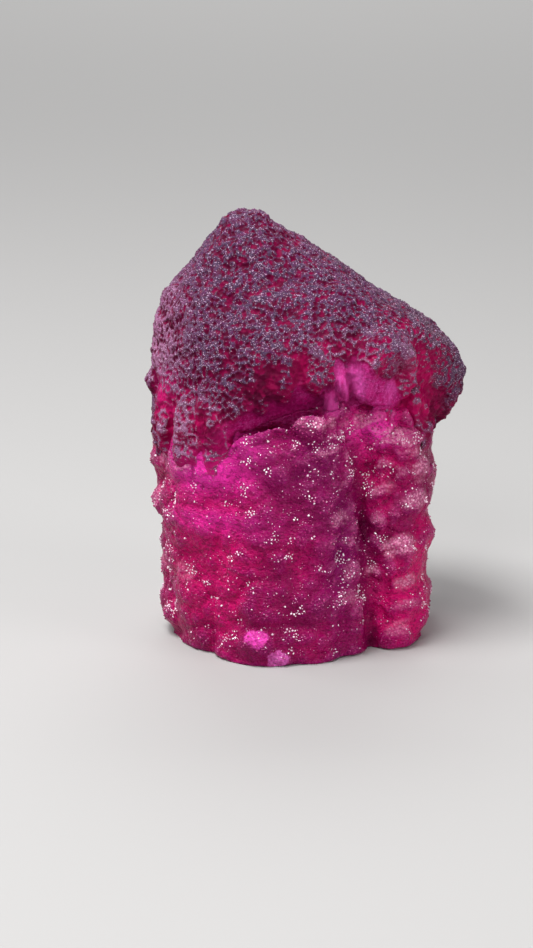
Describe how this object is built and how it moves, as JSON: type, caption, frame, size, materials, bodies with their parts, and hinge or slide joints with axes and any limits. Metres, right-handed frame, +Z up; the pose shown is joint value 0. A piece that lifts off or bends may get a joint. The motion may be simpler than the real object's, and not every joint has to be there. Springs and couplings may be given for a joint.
{
  "type": "rubellite crystal",
  "caption": "Mushroom-habit rubellite: a stem of ribbed pink-red crystals under a crusted, off-centre peaked cap, standing on a flat broken foot.",
  "frame": {"origin": "the middle of the part's outline in plan, on the flat foot", "axes": "+Z up along the stem, -Y towards the front with the broken lobe and the hollow, +X towards the cap's low right nose"},
  "size_m": [0.037, 0.0314, 0.05],
  "materials": {
    "rubellite": "satin"
  },
  "bodies": {
    "root": {"rubellite": "rubellite"}
  },
  "joints": []
}
